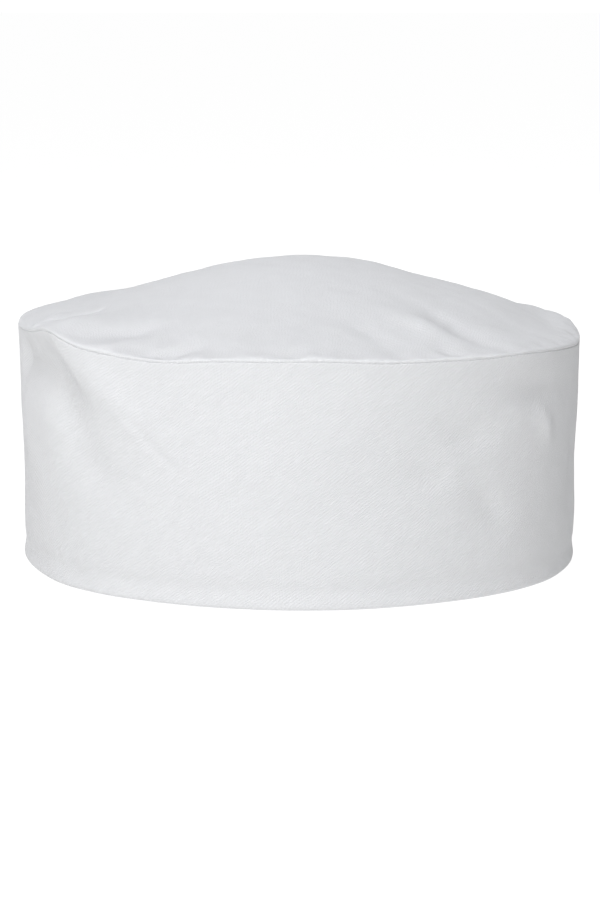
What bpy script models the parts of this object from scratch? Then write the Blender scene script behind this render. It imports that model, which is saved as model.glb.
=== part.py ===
"""A low flat-topped chef's cap: a domed crown on a doubled side band, with a hook-and-loop strap at the back.

Metres, +Z up. The origin is at the centre of the rim, on the plane that the cap stands on. The wearer faces
-Y, and the size opening is at +Y. Layers of the side band are placed by their depth, measured inwards from
its outer face.
"""

import math

import bmesh
import bpy
from mathutils import Matrix, Vector

MM = 0.001

# Driving dimensions
SEAM_RADIUS = 98 * MM  # outer face of the band at the crown seam
RIM_RADIUS = 97.1 * MM  # outer face of the band at the folded rim
BAND_HEIGHT = 80 * MM
CROWN_HEIGHT = 103 * MM  # top of the dome above the rim
DOME_RADIUS = 140 * MM  # the middle of the crown is a shallow dome
SHOULDER_RADIUS = 2 * MM  # the crown rolls over into the seam

GAP = 0.3 * MM  # between one piece and the next
CLOTH = 0.6 * MM  # twill, and the binding that is cut from it
FOLD_RADIUS = 0.45 * MM  # centreline of a sharp fold
TAPE = 0.3 * MM
THREAD_RADIUS = 0.2 * MM
THREAD_CLEARANCE = GAP + THREAD_RADIUS  # from a row of stitches' middle to the cloth it lies on
RING_STEPS = 64

# Cutters at the back reach over this stretch of y, which holds all the layers of the band there
CUT_NEAR = 60 * MM
CUT_FAR = 120 * MM

# Depths below the band's outer face
INTERLINING_DEPTH = CLOTH + GAP
INTERLINING_THICKNESS = 0.7 * MM
INNER_LEG_DEPTH = INTERLINING_DEPTH + INTERLINING_THICKNESS + GAP
BAND_THICKNESS = INNER_LEG_DEPTH + CLOTH
LINING_DEPTH = BAND_THICKNESS + GAP  # the first layer inside the band
ALLOWANCE_DEPTH = LINING_DEPTH + TAPE + GAP
ALLOWANCE_INNER_DEPTH = ALLOWANCE_DEPTH + CLOTH
SEAM_BINDING_DEPTH = ALLOWANCE_INNER_DEPTH + GAP + TAPE

# Crown seam, inside
RETURN_Z = BAND_HEIGHT - FOLD_RADIUS  # the crown turns inwards here, over the band's raw edges
BAND_TOP_Z = RETURN_Z - CLOTH / 2 - GAP
ALLOWANCE_LOW_Z = BAND_HEIGHT - 10 * MM
SEAM_BINDING_LOW_Z = ALLOWANCE_LOW_Z - GAP - TAPE

# Sweatband
SWEATBAND_LOW_Z = 4 * MM
SWEATBAND_WIDTH = 32 * MM
SWEATBAND_THICKNESS = 1 * MM
SWEATBAND_END_X = 52 * MM
SWEATBAND_STITCH_INSET = 1.5 * MM

# Size opening: straight sides with a half-ellipse over them
OPENING_HALF_WIDTH = 32 * MM
OPENING_SIDE_HEIGHT = 14 * MM
OPENING_HEIGHT = 44 * MM
OPENING_BINDING_WIDTH = 5 * MM
OPENING_STITCH_MARGIN = 3.6 * MM

# Straps: angles are degrees round from +Y, positive towards +X, which is the wearer's left
STRAP_THICKNESS = 0.8 * MM
STRAP_LOW_Z = 3 * MM
STRAP_HIGH_Z = 25 * MM
STRAP_ROOT_DEPTH = LINING_DEPTH + CLOTH + GAP
STRAP_INNER_DEPTH = STRAP_ROOT_DEPTH + STRAP_THICKNESS
ROOT_ANGLE = 33  # the roots end here, either side
HINGE_ANGLE = 15.5  # the straps bend here, either side
HINGE_CLEARANCE_ANGLE = 0.4  # the root stops short of the bend, so that the strap's corner can swing past it
SPLIT_ANGLE = 0.1
CLOSING_STRAP_DEPTH = 0.2 * MM
CLOSING_STRAP_END = 11
RECEIVING_STRAP_END = -9
CROSSOVER_START = -13.5
CROSSOVER_END = -4.5
FASTENER_THICKNESS = 0.9 * MM
FASTENER_INSET = 1.5 * MM
HOOK_TAPE_ANGLES = (-3.5, 10)
LOOP_TAPE_ANGLES = (-8, 14.5)
HOOK_TAPE_DEPTH = CLOSING_STRAP_DEPTH + STRAP_THICKNESS + GAP
LOOP_TAPE_DEPTH = HOOK_TAPE_DEPTH + FASTENER_THICKNESS + GAP
STITCH_BOX_INSET = 2.5 * MM
FASTENER_STITCH_ANGLE = 0.7  # inside the ends of the tape
ROOT_STITCH_ANGLES = (23.5, 29.5)
BAR_TACK_RADIUS = 0.5 * MM
BAR_TACK_HEIGHTS = (4 * MM, 10 * MM)

# Care label
LABEL_ANGLE = 60
LABEL_WIDTH = 24 * MM
LABEL_LOW_Z = 38 * MM

MATERIALS = {
    "white_twill": ((0.80, 0.81, 0.83), 0.85),
    "interlining": ((0.86, 0.86, 0.84), 0.90),
    "sweatband_cloth": ((0.78, 0.79, 0.80), 0.95),
    "binding_tape": ((0.82, 0.83, 0.85), 0.80),
    "thread": ((0.85, 0.86, 0.88), 0.60),
    "hook_tape": ((0.84, 0.84, 0.84), 0.55),
    "loop_tape": ((0.80, 0.80, 0.80), 0.95),
    "label_satin": ((0.88, 0.88, 0.87), 0.40),
}


def clear_scene():
    for obj in list(bpy.data.objects):
        bpy.data.objects.remove(obj, do_unlink=True)


def new_collection(name):
    collection = bpy.data.collections.new(name)
    bpy.context.scene.collection.children.link(collection)
    return collection


def make_material(name):
    colour, roughness = MATERIALS[name]
    material = bpy.data.materials.new(name)
    material.use_nodes = True
    shader = material.node_tree.nodes["Principled BSDF"]
    shader.inputs["Base Color"].default_value = (*colour, 1)
    shader.inputs["Roughness"].default_value = roughness
    shader.inputs["Metallic"].default_value = 0
    return material


def add_object(name, data, collection, material=None):
    obj = bpy.data.objects.new(name, data)
    collection.objects.link(obj)
    if material:
        data.materials.append(bpy.data.materials[material])
    return obj


# Geometry of the cap


def wall_radius(z):
    """Outer face of the side band at height z: it widens a little towards the crown."""
    return RIM_RADIUS + (SEAM_RADIUS - RIM_RADIUS) * z / BAND_HEIGHT


def spread(start, end, steps):
    return [start + (end - start) * i / steps for i in range(steps + 1)]


def arc(centre, radius, start, end, steps):
    """Points round a circle in the (radius, height) plane, by angle from straight up, in degrees."""
    angles = [math.radians(a) for a in spread(start, end, steps)]
    return [Vector((centre[0] + radius * math.sin(a), centre[1] + radius * math.cos(a))) for a in angles]


def crown_slope():
    """Angle below level, in degrees, of the straight cloth that runs from the dome to the shoulder.

    It touches both of their circles, as a belt lies on two pulleys.
    """
    across = SEAM_RADIUS - SHOULDER_RADIUS
    up = BAND_HEIGHT - (CROWN_HEIGHT - DOME_RADIUS)
    towards = math.atan2(across, up)
    return math.degrees(towards - math.acos((DOME_RADIUS - SHOULDER_RADIUS) / math.hypot(across, up)))


def crown_centreline():
    half = CLOTH / 2
    slope = crown_slope()
    dome = arc((0, CROWN_HEIGHT - DOME_RADIUS), DOME_RADIUS - half, 0, slope, 4)
    shoulder = arc((SEAM_RADIUS - SHOULDER_RADIUS, BAND_HEIGHT), SHOULDER_RADIUS - half, slope, 90, 5)
    fold = arc((SEAM_RADIUS - half - FOLD_RADIUS, BAND_HEIGHT), FOLD_RADIUS, 120, 180, 2)
    down_radius = SEAM_RADIUS - ALLOWANCE_DEPTH - half
    turn = arc((down_radius + FOLD_RADIUS, RETURN_Z - FOLD_RADIUS), FOLD_RADIUS, 0, -90, 2)
    end = [Vector((wall_radius(ALLOWANCE_LOW_Z) - ALLOWANCE_DEPTH - half, ALLOWANCE_LOW_Z))]
    return dome + shoulder + fold + turn + end


def folded_centreline(outer_depth, inner_depth, high_z, low_z):
    """A strip folded at the bottom into two legs, from the outer leg's top to the inner one's."""
    outer = wall_radius(low_z) - outer_depth
    inner = wall_radius(low_z) - inner_depth
    fold_z = low_z + FOLD_RADIUS
    outer_fold = arc((outer - FOLD_RADIUS, fold_z), FOLD_RADIUS, 90, 180, 2)
    inner_fold = arc((inner + FOLD_RADIUS, fold_z), FOLD_RADIUS, 180, 270, 2)
    top_outer = Vector((wall_radius(high_z) - outer_depth, high_z))
    top_inner = Vector((wall_radius(high_z) - inner_depth, high_z))
    return [top_outer, *outer_fold, *inner_fold, top_inner]


def thicken(path, thickness, from_axis=False):
    """The closed outline of a strip of cloth round its centreline, down one side and back up the other."""
    sides = ([], [])
    for i, point in enumerate(path):
        before = (point - path[i - 1]).normalized() if i else (path[1] - point).normalized()
        after = (path[i + 1] - point).normalized() if i + 1 < len(path) else before
        along = (before + after).normalized()
        if from_axis and i == 0:
            along = Vector((1, 0))
        normal = Vector((-along.y, along.x))
        reach = thickness / 2 / max(0.5, normal.dot(Vector((-after.y, after.x))))
        sides[0].append(point + normal * reach)
        sides[1].append(point - normal * reach)
    return sides[0] + sides[1][::-1]


def ring_outline(outer_depth, inner_depth, low_z, high_z):
    """A plain layer that follows the side band."""
    top, bottom = wall_radius(high_z), wall_radius(low_z)
    corners = [
        (top - outer_depth, high_z),
        (bottom - outer_depth, low_z),
        (bottom - inner_depth, low_z),
        (top - inner_depth, high_z),
    ]
    return [Vector(c) for c in corners]


def opening_outline(margin, steps=16):
    """The size opening seen from behind, grown by margin. It starts and ends below the rim."""
    half = OPENING_HALF_WIDTH + margin
    rise = OPENING_HEIGHT - OPENING_SIDE_HEIGHT + margin
    below = -5 * MM
    angles = spread(0, math.pi, steps)
    top = [Vector((half * math.cos(a), OPENING_SIDE_HEIGHT + rise * math.sin(a))) for a in angles]
    return [Vector((half, below)), *top, Vector((-half, below))]


def at_angle(radius, angle, z=0.0):
    a = math.radians(angle)
    return Vector((radius * math.sin(a), radius * math.cos(a), z))


def on_wall(x, z, depth):
    """The point at this x and height on the back of the cap, this deep in the band."""
    radius = wall_radius(z) - depth
    return Vector((x, math.sqrt(radius**2 - x**2), z))


# Builders


def turned(name, outline, collection, material=None, closed=True):
    """An outline in the (radius, height) plane, turned round the Z axis."""
    mesh = bpy.data.meshes.new(name)
    edges = [(i, i + 1) for i in range(len(outline) - 1)]
    if closed:
        edges.append((len(outline) - 1, 0))
    mesh.from_pydata([(p.x, 0, p.y) for p in outline], edges, [])
    obj = add_object(name, mesh, collection, material)
    screw = obj.modifiers.new("turn", "SCREW")
    screw.axis = "Z"
    screw.steps = RING_STEPS
    screw.render_steps = RING_STEPS
    screw.use_merge_vertices = True
    screw.merge_threshold = 0.00001
    screw.use_smooth_shade = True
    return obj


def prism(name, outline, collection):
    """A vertical outline in x and z, pushed through the back of the cap in y."""
    bm = bmesh.new()
    face = bm.faces.new([bm.verts.new((p.x, CUT_NEAR, p.y)) for p in outline])
    pushed = bmesh.ops.extrude_face_region(bm, geom=[face])
    moved = [v for v in pushed["geom"] if isinstance(v, bmesh.types.BMVert)]
    bmesh.ops.translate(bm, verts=moved, vec=(0, CUT_FAR - CUT_NEAR, 0))
    bmesh.ops.recalc_face_normals(bm, faces=bm.faces)
    mesh = bpy.data.meshes.new(name)
    bm.to_mesh(mesh)
    bm.free()
    return as_helper(add_object(name, mesh, collection))


def block(name, low, high, collection, turn=0.0):
    """A box between two corners, then turned clockwise round Z, seen from above, by so many degrees."""
    bm = bmesh.new()
    bmesh.ops.create_cube(bm, size=1)
    size = Vector(high) - Vector(low)
    bmesh.ops.scale(bm, verts=bm.verts, vec=size)
    bmesh.ops.translate(bm, verts=bm.verts, vec=(Vector(high) + Vector(low)) / 2)
    bmesh.ops.rotate(bm, verts=bm.verts, matrix=Matrix.Rotation(-math.radians(turn), 3, "Z"))
    mesh = bpy.data.meshes.new(name)
    bm.to_mesh(mesh)
    bm.free()
    return as_helper(add_object(name, mesh, collection))


def as_helper(obj):
    obj.hide_render = True
    obj.display_type = "WIRE"
    return obj


def boolean(obj, operation, other):
    modifier = obj.modifiers.new(other.name, "BOOLEAN")
    modifier.operation = operation
    modifier.object = other
    modifier.solver = "EXACT"


def thread(name, path, collection, closed=False, radius=THREAD_RADIUS):
    """A row of stitching, as a thin tube along its path."""
    curve = bpy.data.curves.new(name, "CURVE")
    curve.dimensions = "3D"
    curve.bevel_depth = radius
    curve.bevel_resolution = 1
    curve.use_fill_caps = True
    spline = curve.splines.new("POLY")
    spline.points.add(len(path) - 1)
    for point, place in zip(spline.points, path):
        point.co = (*place, 1)
    spline.use_cyclic_u = closed
    return add_object(name, curve, collection, "thread")


def strip(name, angles, depth, thickness, inset, collection, material, steps=12):
    """A strip that follows the cap's back. depth(angle) is its outer face. Its plan is extruded up."""
    base = wall_radius(STRAP_LOW_Z)
    low_z, high_z = STRAP_LOW_Z + inset, STRAP_HIGH_Z - inset
    turns = spread(angles[0], angles[1], steps)
    outer = [at_angle(base - depth(a), a) for a in turns]
    inner = [at_angle(base - depth(a) - thickness, a) for a in turns]
    plan = outer + inner[::-1]
    curve = bpy.data.curves.new(name, "CURVE")
    curve.dimensions = "2D"
    curve.fill_mode = "BOTH"
    curve.extrude = (high_z - low_z) / 2
    spline = curve.splines.new("POLY")
    spline.points.add(len(plan) - 1)
    for point, place in zip(spline.points, plan):
        point.co = (place.x, place.y, 0, 1)
    spline.use_cyclic_u = True
    obj = add_object(name, curve, collection, material)
    obj.location.z = (high_z + low_z) / 2
    return obj


def strap(name, angles, depth, collection):
    return strip(name, angles, depth, STRAP_THICKNESS, 0, collection, "white_twill")


def fastener(name, angles, depth, collection):
    """A piece of hook or loop tape, whose name is also its material's."""
    return strip(
        name, angles, even_depth(depth), FASTENER_THICKNESS, FASTENER_INSET, collection, name, steps=8
    )


def stitch_box(name, angles, depth, collection):
    """A rectangle of stitching on a strap."""
    radius = wall_radius(STRAP_LOW_Z) - depth
    low, high = STRAP_LOW_Z + STITCH_BOX_INSET, STRAP_HIGH_Z - STITCH_BOX_INSET
    turns = spread(angles[0], angles[1], 6)
    path = [at_angle(radius, a, low) for a in turns] + [at_angle(radius, a, high) for a in turns[::-1]]
    return thread(name, path, collection, closed=True)


# Pieces


def make_crown(parts):
    outline = thicken(crown_centreline(), CLOTH, from_axis=True)
    turned("crown_panel", outline, parts, "white_twill", closed=False)


def make_band(parts, tools):
    """The side band is one long strip, folded double at the rim and joined at the centre back."""
    legs = folded_centreline(CLOTH / 2, INNER_LEG_DEPTH + CLOTH / 2, BAND_TOP_Z, CLOTH / 2)
    band = turned("side_band", thicken(legs, CLOTH), parts, "white_twill")
    stiffener = ring_outline(
        INTERLINING_DEPTH, INTERLINING_DEPTH + INTERLINING_THICKNESS, CLOTH + GAP, BAND_TOP_Z
    )
    interlining = turned("band_interlining", stiffener, parts, "interlining")
    opening = prism("opening_cutter", opening_outline(0), tools)
    join = block(
        "back_join_cutter",
        (-GAP / 2, CUT_NEAR, OPENING_SIDE_HEIGHT),
        (GAP / 2, CUT_FAR, CROWN_HEIGHT),
        tools,
    )
    for piece in (band, interlining):
        boolean(piece, "DIFFERENCE", opening)
        boolean(piece, "DIFFERENCE", join)


def make_crown_seam(parts):
    """Binding round the crown's raw edge inside the cap, and the row of stitches that holds it."""
    legs = folded_centreline(
        LINING_DEPTH + TAPE / 2, SEAM_BINDING_DEPTH - TAPE / 2, BAND_TOP_Z - GAP, SEAM_BINDING_LOW_Z
    )
    turned("crown_seam_binding", thicken(legs, TAPE), parts, "binding_tape")
    height = ALLOWANCE_LOW_Z + 2 * MM
    bpy.ops.mesh.primitive_torus_add(
        major_radius=wall_radius(height) - SEAM_BINDING_DEPTH - THREAD_CLEARANCE,
        minor_radius=THREAD_RADIUS,
        major_segments=RING_STEPS,
        minor_segments=6,
        location=(0, 0, height),
    )
    ring = bpy.context.object
    ring.name = "crown_seam_stitching"
    ring.data.materials.append(bpy.data.materials["thread"])
    for collection in list(ring.users_collection):
        collection.objects.unlink(ring)
    parts.objects.link(ring)


def make_sweatband(parts, tools):
    high = SWEATBAND_LOW_Z + SWEATBAND_WIDTH
    depth = LINING_DEPTH + SWEATBAND_THICKNESS
    outline = ring_outline(LINING_DEPTH, depth, SWEATBAND_LOW_Z, high)
    band = turned("sweatband", outline, parts, "sweatband_cloth")
    ends = (-SWEATBAND_END_X, 0, 0), (SWEATBAND_END_X, CUT_FAR, BAND_HEIGHT)
    gap = block("sweatband_cutter", *ends, tools)
    boolean(band, "DIFFERENCE", gap)
    rows = {
        "sweatband_stitching_lower": SWEATBAND_LOW_Z + SWEATBAND_STITCH_INSET,
        "sweatband_stitching_upper": high - SWEATBAND_STITCH_INSET,
    }
    for name, z in rows.items():
        radius = wall_radius(z) - depth - THREAD_CLEARANCE
        end = math.degrees(math.asin(SWEATBAND_END_X / radius)) + 1
        thread(name, [at_angle(radius, a, z) for a in spread(end, 360 - end, 56)], parts)


def make_opening_binding(parts, tools):
    """Bias binding that wraps the raw edge of the size opening, and its row of stitches."""
    low_z, high_z = CLOTH, OPENING_HEIGHT + 2 * OPENING_BINDING_WIDTH
    inner_depth = LINING_DEPTH + CLOTH
    outline = ring_outline(-GAP - CLOTH, inner_depth, low_z, high_z)
    binding = turned("back_opening_binding", outline, parts, "binding_tape")
    edge_cut = prism("binding_edge_cutter", opening_outline(-GAP - CLOTH), tools)
    around = prism("binding_outline", opening_outline(OPENING_BINDING_WIDTH), tools)
    space = turned("band_space", ring_outline(-GAP, LINING_DEPTH, -GAP, BAND_HEIGHT), tools)
    as_helper(space)
    boolean(space, "DIFFERENCE", prism("band_space_edge", opening_outline(-GAP), tools))
    boolean(binding, "INTERSECT", around)
    boolean(binding, "DIFFERENCE", edge_cut)
    boolean(binding, "DIFFERENCE", space)
    depth = -GAP - CLOTH - THREAD_CLEARANCE
    arch = [p for p in opening_outline(OPENING_STITCH_MARGIN, 28) if p.y > 0]
    start = [Vector((arch[0].x, 2 * MM))]
    end = [Vector((arch[-1].x, 2 * MM))]
    path = [on_wall(p.x, p.y, depth) for p in start + arch + end]
    thread("back_opening_stitching", path, parts)


def make_back_seam(parts, tools):
    """Tape over the join at the centre back, inside the cap."""
    low_z = OPENING_HEIGHT + OPENING_BINDING_WIDTH + 2 * GAP
    high_z = SEAM_BINDING_LOW_Z - 2 * GAP
    half = 3.5 * MM
    tape_inner = LINING_DEPTH + TAPE
    tape = turned(
        "back_seam_tape",
        ring_outline(LINING_DEPTH, tape_inner, low_z, high_z),
        parts,
        "binding_tape",
    )
    ends = (-half, CUT_NEAR, 0), (half, CUT_FAR, CROWN_HEIGHT)
    boolean(tape, "INTERSECT", block("tape_outline", *ends, tools))
    depth = tape_inner + THREAD_CLEARANCE
    corners = [(-1, low_z + MM), (1, low_z + MM), (1, high_z - MM), (-1, high_z - MM)]
    path = [on_wall(side * (half - MM), z, depth) for side, z in corners]
    thread("back_seam_stitching", path, parts, closed=True)


def even_depth(depth):
    return lambda angle: depth


def inside(angles, inset):
    return angles[0] + inset, angles[1] - inset


def closing_depth(angle):
    """The closing strap comes from inside the band, and crosses to the outside of the receiving strap."""
    share = min(1, max(0, (angle - CROSSOVER_START) / (CROSSOVER_END - CROSSOVER_START)))
    eased = share * share * (3 - 2 * share)
    return STRAP_ROOT_DEPTH + (CLOSING_STRAP_DEPTH - STRAP_ROOT_DEPTH) * eased


def make_hinge(name, angle, collection):
    """The upright line that a strap swings on, in the middle of its cloth."""
    hinge = bpy.data.objects.new(name, None)
    hinge.location = at_angle(wall_radius(STRAP_LOW_Z) - STRAP_ROOT_DEPTH - STRAP_THICKNESS / 2, angle)
    collection.objects.link(hinge)
    return hinge


def hang(pieces, hinge):
    for piece in pieces:
        piece.parent = hinge
        piece.location -= hinge.location


def make_receiving_strap(parts):
    """The inner strap. Its root is sewn to the band on the wearer's left, and the rest swings inwards."""
    depth = even_depth(STRAP_ROOT_DEPTH)
    strap("receiving_strap_root", (HINGE_ANGLE + HINGE_CLEARANCE_ANGLE, ROOT_ANGLE), depth, parts)
    stitches = inside(LOOP_TAPE_ANGLES, FASTENER_STITCH_ANGLE)
    moving = [
        strap("receiving_strap", (RECEIVING_STRAP_END, HINGE_ANGLE - SPLIT_ANGLE), depth, parts),
        fastener("loop_tape", LOOP_TAPE_ANGLES, LOOP_TAPE_DEPTH, parts),
        stitch_box("loop_tape_stitching", stitches, STRAP_INNER_DEPTH + THREAD_CLEARANCE, parts),
    ]
    hang(moving, make_hinge("receiving_strap_hinge", HINGE_ANGLE, parts))


def make_closing_strap(parts):
    """The outer strap. Its root is sewn to the band on the wearer's right, and the rest swings outwards."""
    root = (-ROOT_ANGLE, -HINGE_ANGLE - HINGE_CLEARANCE_ANGLE)
    strap("closing_strap_root", root, even_depth(STRAP_ROOT_DEPTH), parts)
    stitches = inside(HOOK_TAPE_ANGLES, FASTENER_STITCH_ANGLE)
    moving = [
        strap("closing_strap", (SPLIT_ANGLE - HINGE_ANGLE, CLOSING_STRAP_END), closing_depth, parts),
        fastener("hook_tape", HOOK_TAPE_ANGLES, HOOK_TAPE_DEPTH, parts),
        stitch_box("hook_tape_stitching", stitches, CLOSING_STRAP_DEPTH - THREAD_CLEARANCE, parts),
    ]
    hang(moving, make_hinge("closing_strap_hinge", -HINGE_ANGLE, parts))


def make_root_stitching(parts):
    """Through the band and the root of each strap, with a bar tack at each lower corner of the opening."""
    low, high = ROOT_STITCH_ANGLES
    stitch_box("strap_root_stitching_left", (low, high), -THREAD_CLEARANCE, parts)
    stitch_box("strap_root_stitching_right", (-high, -low), -THREAD_CLEARANCE, parts)
    x = OPENING_HALF_WIDTH + 2 * MM
    depth = -2 * GAP - CLOTH - BAR_TACK_RADIUS
    for name, side in (("bar_tack_left", 1), ("bar_tack_right", -1)):
        path = [on_wall(side * x, z, depth) for z in BAR_TACK_HEIGHTS]
        thread(name, path, parts, radius=BAR_TACK_RADIUS)


def make_label(parts, tools):
    """A blank care label, held in the crown seam's binding."""
    high_z = SEAM_BINDING_LOW_Z - 2 * GAP
    inner = LINING_DEPTH + TAPE
    label = turned(
        "care_label", ring_outline(LINING_DEPTH, inner, LABEL_LOW_Z, high_z), parts, "label_satin"
    )
    half = LABEL_WIDTH / 2
    ends = (-half, CUT_NEAR, 0), (half, CUT_FAR, CROWN_HEIGHT)
    boolean(label, "INTERSECT", block("label_outline", *ends, tools, LABEL_ANGLE))
    z = high_z - 1.5 * MM
    radius = wall_radius(z) - inner - THREAD_CLEARANCE
    reach = math.degrees(half / radius) - 1
    turns = spread(LABEL_ANGLE - reach, LABEL_ANGLE + reach, 8)
    thread("care_label_stitching", [at_angle(radius, a, z) for a in turns], parts)


def main():
    clear_scene()
    for name in MATERIALS:
        make_material(name)
    parts = new_collection("chef_cap")
    tools = new_collection("cutters")
    make_crown(parts)
    make_band(parts, tools)
    make_crown_seam(parts)
    make_sweatband(parts, tools)
    make_opening_binding(parts, tools)
    make_back_seam(parts, tools)
    make_receiving_strap(parts)
    make_closing_strap(parts)
    make_root_stitching(parts)
    make_label(parts, tools)


main()
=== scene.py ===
"""The looks of a low flat-topped chef's cap in white twill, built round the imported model's frame.

Lengths are in millimetres up to the point where a mesh is made. A place on the cap is given by its angle from
the front, in degrees and positive towards +X, its depth below the side band's outer face or its radius, and
its height. Every piece is laid out on the ideal cap. Then drape() puts the folds into all of them alike, so
that the layers stay together.
"""

import math
from functools import cached_property
from typing import NamedTuple

import bmesh
import bpy
import numpy as np
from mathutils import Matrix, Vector


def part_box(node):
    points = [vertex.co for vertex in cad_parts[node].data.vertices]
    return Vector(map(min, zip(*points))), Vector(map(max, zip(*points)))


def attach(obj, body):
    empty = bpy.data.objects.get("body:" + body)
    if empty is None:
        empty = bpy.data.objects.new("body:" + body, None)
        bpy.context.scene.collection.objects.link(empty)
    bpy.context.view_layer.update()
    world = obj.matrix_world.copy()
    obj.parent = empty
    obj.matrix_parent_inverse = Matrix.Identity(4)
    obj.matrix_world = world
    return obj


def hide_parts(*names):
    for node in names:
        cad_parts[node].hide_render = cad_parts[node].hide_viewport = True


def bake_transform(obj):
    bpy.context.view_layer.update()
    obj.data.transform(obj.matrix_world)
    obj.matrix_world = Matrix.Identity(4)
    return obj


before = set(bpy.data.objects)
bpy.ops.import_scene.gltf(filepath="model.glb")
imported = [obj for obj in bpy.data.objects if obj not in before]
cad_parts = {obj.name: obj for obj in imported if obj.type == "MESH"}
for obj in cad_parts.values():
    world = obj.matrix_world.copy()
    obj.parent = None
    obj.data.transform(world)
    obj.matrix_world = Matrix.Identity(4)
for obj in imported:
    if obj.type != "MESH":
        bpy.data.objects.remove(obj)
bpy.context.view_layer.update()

MM = 0.001


def box_mm(node):
    low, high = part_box(node)
    return np.array(low) / MM, np.array(high) / MM


# Sizes from the frame
SEAM_RADIUS = box_mm("crown_panel")[1][0]
CROWN_HEIGHT = box_mm("crown_panel")[1][2]
BAND_TOP = box_mm("side_band")[1][2] + 1.05  # the height of the seam's fold above the band's raw edge
RIM_RADIUS = SEAM_RADIUS - 0.9
SWEATBAND_LOW, SWEATBAND_HIGH = (corner[2] for corner in box_mm("sweatband"))
STRAP_LOW, STRAP_HIGH = (corner[2] for corner in box_mm("closing_strap"))
LABEL_LOW, LABEL_HIGH = (corner[2] for corner in box_mm("care_label"))
SEAM_TAPE_LOW, SEAM_TAPE_HIGH = (corner[2] for corner in box_mm("back_seam_tape"))
SEAM_BINDING_LOW = box_mm("crown_seam_binding")[0][2]
CROWN_STITCH_Z = sum(corner[2] for corner in box_mm("crown_seam_stitching")) / 2

# Layers, by depth below the band's outer face
CLOTH = 0.6
TAPE = 0.3
GAP = 0.3
INNER_LEG_DEPTH = 2.2  # middle of the band's inner layer
INTERLINING_DEPTH = 1.25
LINING_DEPTH = 2.8
ALLOWANCE_DEPTH = 3.7  # middle of the crown's seam allowance
SEAM_BINDING_DEPTH = 4.6
HEM_RADIUS = (INNER_LEG_DEPTH - CLOTH / 2) / 2
ALLOWANCE_LENGTH = 10.0

# Crown
DOME_RADIUS = 140.0
SHOULDER_RADIUS = 0.9
LIP_RADIUS = 0.35
SEAM_PRESS = 0.25  # how far the stitching presses the crown's lip into the band's top

# Sweatband
SWEATBAND_THICKNESS = 1.0
SWEATBAND_END_X = 52.0
SWEATBAND_STITCH_INSET = 1.5

# Size opening at the back
OPENING_HALF_WIDTH = 32.0
OPENING_SIDE_HEIGHT = 14.0
OPENING_HEIGHT = 44.0
BINDING_WIDTH = 5.0
BINDING_STITCH_OFFSET = 3.6

# Straps. Their angles are from the middle of the back, positive towards +X
STRAP_THICKNESS = 0.8
STRAP_DEPTH = 3.7  # outer face at the roots
STRAP_ROOT_END = 33.0
HINGE_ANGLE = 15.5
HINGE_SPREAD = 2.6  # the angle either side of the hinge to the two ends of a bend that make_strap works out but doesn't make
CLOSING_STRAP_DEPTH = 0.2
CLOSING_STRAP_END = 11.0
RECEIVING_STRAP_END = -9.0
CROSSOVER = (-13.5, -4.5)
FASTENER_THICKNESS = 0.9
HOOK_BACKING = 0.45
LOOP_BACKING = 0.4
FASTENER_INSET = 1.5
FASTENER_STITCH_ANGLE = 0.7
HOOK_TAPE_ANGLES = (-3.5, 10.0)
LOOP_TAPE_ANGLES = (-8.0, 14.5)
HOOK_TAPE_DEPTH = CLOSING_STRAP_DEPTH + STRAP_THICKNESS + GAP
LOOP_TAPE_DEPTH = HOOK_TAPE_DEPTH + FASTENER_THICKNESS + GAP
ROOT_STITCH_ANGLES = (23.5, 29.5)
STITCH_BOX_INSET = 2.5
BAR_TACK_X = 34.0
BAR_TACK_HEIGHTS = (4.0, 10.0)

SIDES = (("left", 1), ("right", -1))  # the wearer's, and the sign of x there

# Care label
LABEL_ANGLE = 60.0  # from the middle of the back
LABEL_WIDTH = 24.0

# Stitches
THREAD_RADIUS = 0.2
STITCH_GAP = 0.7  # from the end of one to the start of the next
BOX_PITCH = 2.6


# Small tools


def smooth(x):
    x = np.clip(x, 0, 1)
    return x * x * (3 - 2 * x)


def arc(centre, radius, start, end, steps):
    """Points round a circle in the (radius, height) plane, by angle from straight up, in degrees."""
    a = np.radians(np.linspace(start, end, steps + 1))
    return np.stack([centre[0] + radius * np.sin(a), centre[1] + radius * np.cos(a)], -1)


def lengths(path):
    steps = np.linalg.norm(np.diff(path, axis=0), axis=1)
    return np.concatenate([[0], np.cumsum(steps)])


def resample(path, spacing, extra=None):
    """Points at even spacing along a path, with the extra columns that go with them."""
    s = lengths(path)
    t = np.linspace(0, s[-1], max(2, round(s[-1] / spacing) + 1))
    columns = path.T if extra is None else np.concatenate([path, extra], 1).T
    return np.stack([np.interp(t, s, column) for column in columns], -1)


def curve_through(points, steps=10):
    """A smooth curve through points."""
    p = np.array(points, float)
    p = np.concatenate([[2 * p[0] - p[1]], p, [2 * p[-1] - p[-2]]])
    t = np.linspace(0, 1, steps, endpoint=False)[:, None]
    parts = []
    for a, b, c, d in zip(p, p[1:], p[2:], p[3:]):
        bend = 2 * a - 5 * b + 4 * c - d
        parts.append(0.5 * (2 * b + (c - a) * t + bend * t**2 + (3 * b - a - 3 * c + d) * t**3))
    return np.concatenate([*parts, p[-2:-1]])


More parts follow.
